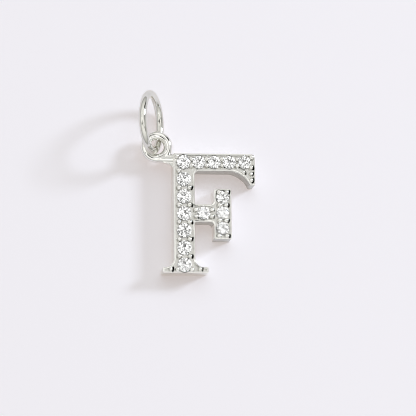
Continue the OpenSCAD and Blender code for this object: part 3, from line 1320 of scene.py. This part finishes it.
def combine(tree, operation, *values):
    """The result of a Math node on one or two values, each a socket or a number."""
    node = add_node(tree, "ShaderNodeMath", operation=operation)
    for i, value in enumerate(values):
        if isinstance(value, float):
            node.inputs[i].default_value = value
        else:
            tree.links.new(value, node.inputs[i])
    return node.outputs[0]


def scale_where(tree, strength, mask, scale):
    """The strength times this scale where the mask is one, and as it was where the mask is nought."""
    return combine(tree, "MULTIPLY", strength, spread(tree, mask, 0.0, 1.0, 1.0, scale))


def board_mask(tree, direction, turn_deg, lift, half_wide, half_high, soft_from=0.8):
    """One inside a rectangle of directions and nought outside it, with soft edges."""
    fit = add_node(
        tree,
        "ShaderNodeMapping",
        {
            "Rotation": (0.0, -math.radians(lift), math.radians(turn_deg)),
            "Scale": (1.0, math.tan(math.radians(half_wide)), math.tan(math.radians(half_high))),
        },
        vector_type="TEXTURE",
    )
    tree.links.new(direction, fit.inputs["Vector"])
    parts = add_node(tree, "ShaderNodeSeparateXYZ")
    tree.links.new(fit.outputs["Vector"], parts.inputs["Vector"])
    ahead = parts.outputs["X"]
    wide = combine(tree, "ABSOLUTE", combine(tree, "DIVIDE", parts.outputs["Y"], ahead))
    high = combine(tree, "ABSOLUTE", combine(tree, "DIVIDE", parts.outputs["Z"], ahead))
    inside = spread(tree, combine(tree, "MAXIMUM", wide, high), 1.0, soft_from)
    return combine(tree, "MULTIPLY", inside, combine(tree, "GREATER_THAN", ahead, 0.0))


def lamp_gaps(tree, parts, studio, starts=0.15, full=0.3):
    """One in the dark gaps between the studio's lamps, and nought elsewhere."""
    azimuth = combine(tree, "ARCTAN2", parts.outputs["Y"], parts.outputs["X"])
    columns = combine(tree, "SINE", combine(tree, "MULTIPLY", azimuth, studio.lamp_columns))
    rows = combine(tree, "SINE", combine(tree, "MULTIPLY", parts.outputs["Z"], studio.lamp_rows))
    return spread(tree, combine(tree, "MULTIPLY", columns, rows), starts, full)


def room_seen(tree, direction, ray, studio):
    """The room as the metal and the stones show it: white, greyer towards the floor, with dark boards.

    The stones show it brighter, with the gaps between its lamps. The camera sees no grey or boards in it.
    """
    parts = add_node(tree, "ShaderNodeSeparateXYZ")
    tree.links.new(direction, parts.inputs["Vector"])
    height = parts.outputs["Z"]
    strength = spread(tree, height, 0.0, studio.ceiling_start, studio.horizon, studio.ceiling)
    for turn_deg, lift, half_wide, half_high, left in BOARDS:
        mask = board_mask(tree, direction, turn_deg, lift, half_wide, half_high)
        strength = scale_where(tree, strength, mask, left)
    strength = combine(tree, "MAXIMUM", strength, ray.outputs["Is Camera Ray"])
    through = combine(tree, "MINIMUM", ray.outputs["Transmission Depth"], 1.0)
    strength = scale_where(tree, strength, through, studio.sparkle)
    gaps = combine(tree, "MULTIPLY", lamp_gaps(tree, parts, studio), through)
    strength = scale_where(tree, strength, gaps, studio.gap_left)
    seen = add_node(tree, "ShaderNodeBackground", {"Color": (*studio.room_colour, 1.0)})
    tree.links.new(combine(tree, "MULTIPLY", strength, studio.sky), seen.inputs["Strength"])
    return seen.outputs["Background"]


def light_shed(tree, direction, studio):
    """The light that the room sheds on the paper: soft all round, stronger from the picture's top."""
    towards = add_node(tree, "ShaderNodeVectorMath", operation="DOT_PRODUCT")
    towards.inputs[1].default_value = TOP_FILL
    tree.links.new(direction, towards.inputs[0])
    strength = spread(tree, towards.outputs["Value"], TOP_FILL_END, 1.0, studio.fill, studio.fill_top)
    shed = add_node(tree, "ShaderNodeBackground", {"Color": (*studio.fill_colour, 1.0)})
    tree.links.new(strength, shed.inputs["Strength"])
    return shed.outputs["Background"]


def light_room(studio):
    """The world: a room for what is seen, mirrored or seen through stones, and a light on the paper."""
    world = bpy.data.worlds.new("room")
    bpy.context.scene.world = world
    world.use_nodes = True
    tree = world.node_tree
    tree.nodes.clear()
    direction = add_node(tree, "ShaderNodeTexCoord").outputs["Generated"]
    ray = add_node(tree, "ShaderNodeLightPath")
    mix = add_node(tree, "ShaderNodeMixShader")
    on_paper = combine(tree, "MINIMUM", ray.outputs["Diffuse Depth"], 1.0)
    tree.links.new(on_paper, mix.inputs["Fac"])
    tree.links.new(room_seen(tree, direction, ray, studio), mix.inputs[1])
    tree.links.new(light_shed(tree, direction, studio), mix.inputs[2])
    output = add_node(tree, "ShaderNodeOutputWorld")
    tree.links.new(mix.outputs["Shader"], output.inputs["Surface"])


def set_camera(studio, anchor):
    """Sets the camera so that the anchor lies at its place in the picture, and gives its target."""
    lean = Vector((-studio.lean_left, -studio.lean_down, 0.0))
    away = Vector((lean.x, lean.y, math.sqrt(1.0 - lean.length_squared)))
    right = (RIGHTWARD - away * RIGHTWARD.dot(away)).normalized()
    up = away.cross(right)
    right, up = (
        right * math.cos(studio.roll) + up * math.sin(studio.roll),
        up * math.cos(studio.roll) - right * math.sin(studio.roll),
    )
    half = PICTURE_SIZE / 2
    sideways = (half - studio.anchor_x) * right
    upwards = (studio.anchor_y - half) * up
    target = anchor + studio.pixel * (sideways + upwards)
    data = bpy.data.cameras.new("camera")
    camera = bpy.data.objects.new("camera", data)
    bpy.context.scene.collection.objects.link(camera)
    data.sensor_width = 36.0
    data.lens = data.sensor_width * studio.distance / (studio.pixel * PICTURE_SIZE)
    data.clip_start = studio.distance / 20
    data.clip_end = studio.distance * 100
    camera.location = target + away * studio.distance
    camera.rotation_mode = "QUATERNION"
    camera.rotation_quaternion = Matrix((right, up, away)).transposed().to_quaternion()
    bpy.context.scene.camera = camera
    return target


def hang_key(studio, target):
    """One soft square light, low at the upper right of the picture."""
    flat = math.cos(studio.key_lift)
    towards = Vector(
        (flat * math.cos(studio.key_turn), flat * math.sin(studio.key_turn), math.sin(studio.key_lift))
    )
    data = bpy.data.lights.new("key", "AREA")
    data.shape = "SQUARE"
    data.size = studio.key_across
    data.energy = studio.key_power
    data.color = studio.key_colour
    light = bpy.data.objects.new("key", data)
    bpy.context.scene.collection.objects.link(light)
    light.location = target + towards * studio.key_far
    light.rotation_mode = "QUATERNION"
    light.rotation_quaternion = towards.to_track_quat("Z", "Y")


def set_film(mirrorings=8, pixel_blur=1.0):
    """Plain colours, light that is mirrored often enough among beads and stones, and a crisp picture."""
    scene = bpy.context.scene
    scene.view_settings.view_transform = "Standard"
    scene.cycles.glossy_bounces = mirrorings
    scene.cycles.filter_width = pixel_blur


# The add-on


class PENDANT_PT_panel(bpy.types.Panel):
    """Lists the pendant's pieces and their settings"""

    bl_idname = "PENDANT_PT_panel"
    bl_label = "Initial pendant"
    bl_space_type = "VIEW_3D"
    bl_region_type = "UI"
    bl_category = "Pendant"

    def draw(self, context):
        for operator in STEPS:
            self.layout.operator(operator.bl_idname)
        for name in SETTINGS:
            group = getattr(context.scene, name)
            box = self.layout.box()
            for key in group.__annotations__:
                box.prop(group, key)


STEPS = (
    PENDANT_OT_letter,
    PENDANT_OT_beads,
    PENDANT_OT_eyelet,
    PENDANT_OT_ring,
    PENDANT_OT_stones,
    PENDANT_OT_stage,
)
SETTINGS = {
    "pendant_letter": LetterSizes,
    "pendant_setting": SettingSizes,
    "pendant_stones": StoneSizes,
    "pendant_rings": RingSizes,
    "pendant_finish": FinishColours,
    "pendant_studio": StudioSettings,
}


def register():
    """Adds the classes and their settings to Blender."""
    for item in (*SETTINGS.values(), *STEPS, PENDANT_PT_panel):
        bpy.utils.register_class(item)
    for name, group in SETTINGS.items():
        setattr(bpy.types.Scene, name, PointerProperty(type=group))


def unregister():
    """Takes them away again."""
    for name in SETTINGS:
        delattr(bpy.types.Scene, name)
    for item in reversed((*SETTINGS.values(), *STEPS, PENDANT_PT_panel)):
        bpy.utils.unregister_class(item)


def main():
    """Registers the add-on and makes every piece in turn."""
    register()
    bpy.ops.pendant.letter()
    bpy.ops.pendant.beads()
    bpy.ops.pendant.eyelet()
    bpy.ops.pendant.ring()
    bpy.ops.pendant.stones()
    bpy.ops.pendant.stage()


if __name__ == "__main__":
    main()
